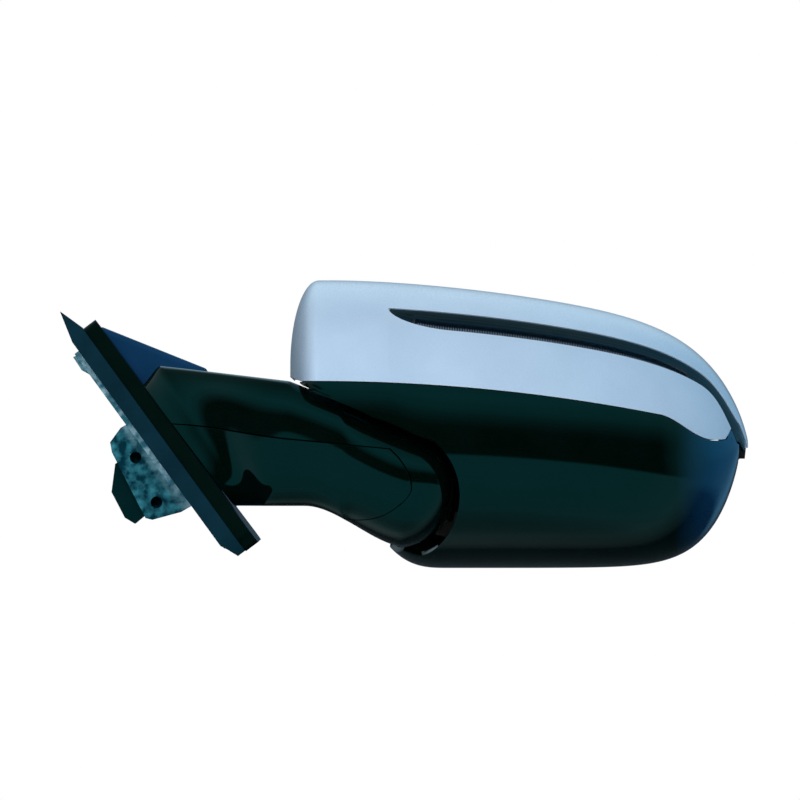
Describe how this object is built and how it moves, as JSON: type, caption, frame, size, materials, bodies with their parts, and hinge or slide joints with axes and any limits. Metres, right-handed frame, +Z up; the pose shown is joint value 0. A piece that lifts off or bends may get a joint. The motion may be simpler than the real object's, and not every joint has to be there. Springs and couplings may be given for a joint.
{
  "type": "car door mirror",
  "caption": "Folding car door mirror: painted cap with a slim side signal lens, dark lower housing, short arm, leaning sail base with gasket and bracket, and adjustable glass.",
  "frame": {"origin": "point on the gasket's door face, level with the fold axis from front to rear", "axes": "+X outboard away from the door, +Y to the rear of the car, +Z up"},
  "size_m": [0.3749, 0.1192, 0.1567],
  "materials": {
    "cap_paint": "pale silver blue lacquer",
    "black_gloss": "gloss blue-black moulding",
    "cover_plastic": "satin blue-black moulding",
    "bezel_plastic": "fine grained black",
    "smoked_lens": "smoked clear lens",
    "clear_plastic": "clear ribbed",
    "reflector": "bright vacuum coating",
    "circuit_board": "solder mask",
    "frame_plastic": "glass filled black",
    "white_plastic": "natural acetal",
    "connector_plastic": "fine grained black",
    "cast_metal": "raw casting",
    "steel": "zinc plated",
    "gasket_rubber": "soft foam rubber",
    "mirror": "silvered glass",
    "heater_film": "copper coloured film",
    "brass": "plated tab"
  },
  "bodies": {
    "base": {"base_bracket": "cast_metal", "door_gasket": "gasket_rubber", "sail_cover": "cover_plastic", "arm_cover": "black_gloss", "arm_lower_cover": "black_gloss", "harness_connector": "connector_plastic", "cover_screws": "steel", "pivot_post": "steel", "detent_ring": "steel", "pivot_spring": "steel", "spring_cup": "steel", "spring_clip": "steel"},
    "head": {"head_frame": "frame_plastic", "upper_cap": "cap_paint", "lower_housing": "black_gloss", "rear_bezel": "bezel_plastic", "signal_lens": "smoked_lens", "light_guide": "clear_plastic", "signal_reflector": "reflector", "signal_board": "circuit_board", "fold_drive": "frame_plastic", "fold_motor": "steel", "thrust_washer": "white_plastic", "actuator_case": "frame_plastic", "frame_screws": "steel"},
    "gimbal": {"gimbal_ring": "white_plastic"},
    "glass": {"glass_holder": "frame_plastic", "heater_pad": "heater_film", "mirror_glass": "mirror", "heater_terminals": "brass"},
    "tilt_plunger": {"tilt_plunger": "white_plastic"},
    "pan_plunger": {"pan_plunger": "white_plastic"}
  },
  "joints": [
    {"name": "fold", "type": "hinge", "parent": "base", "child": "head", "pos_m": [0.1393, 0, -0.0173], "axis": [0.2079, 0, 0.9781], "range_deg": [0, 60]},
    {"name": "glass_pan", "type": "hinge", "parent": "head", "child": "gimbal", "pos_m": [0.212, 0.03, 0.003], "axis": [0, 0, 1], "range_deg": [-7, 7]},
    {"name": "glass_tilt", "type": "hinge", "parent": "gimbal", "child": "glass", "pos_m": [0.212, 0.03, 0.003], "axis": [1, 0, 0], "range_deg": [-7, 7]},
    {"name": "tilt_slide", "type": "slide", "parent": "head", "child": "tilt_plunger", "axis": [0, 1, 0], "range_m": [-0.0037, 0.0037]},
    {"name": "pan_slide", "type": "slide", "parent": "head", "child": "pan_plunger", "axis": [0, 1, 0], "range_m": [-0.0037, 0.0037]}
  ],
  "couplings": [
    {"joint": "tilt_slide", "follows": "glass_tilt", "m_per_rad": 0.03},
    {"joint": "pan_slide", "follows": "glass_pan", "m_per_rad": 0.03}
  ]
}
